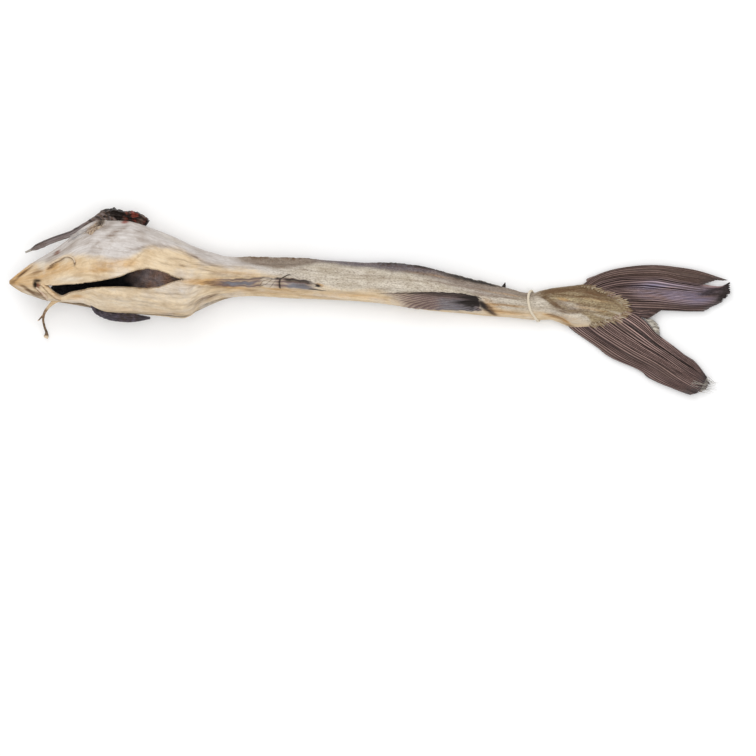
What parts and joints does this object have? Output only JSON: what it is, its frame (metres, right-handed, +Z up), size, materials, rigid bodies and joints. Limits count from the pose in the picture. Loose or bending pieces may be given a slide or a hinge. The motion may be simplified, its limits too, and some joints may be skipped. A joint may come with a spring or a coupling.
{
  "type": "dried stockfish",
  "caption": "Whole headless gutted dried cod with an open belly slit, dried fins, a forked tail and a loop of twine round its wrist; food for soaking and cooking.",
  "frame": {"origin": "middle of the bounding box in plan, on the surface that the fish lies on", "axes": "+X along the fish from the throat to the tail fin, +Y to the side that its back faces at the tail, +Z up with the belly slit on top"},
  "size_m": [0.6, 0.1556, 0.0646],
  "materials": {
    "dried_skin": "matt dried fish skin, cream on the belly, grey to brown on the back",
    "dried_fin": "satin dried fin web with ribbed rays, dark purple-grey",
    "dried_flesh": "matt dried flesh and belly lining, amber to dark brown",
    "twine": "twisted undyed cotton twine"
  },
  "bodies": {
    "root": {"stockfish": "dried_skin", "twine": "twine"}
  },
  "joints": []
}
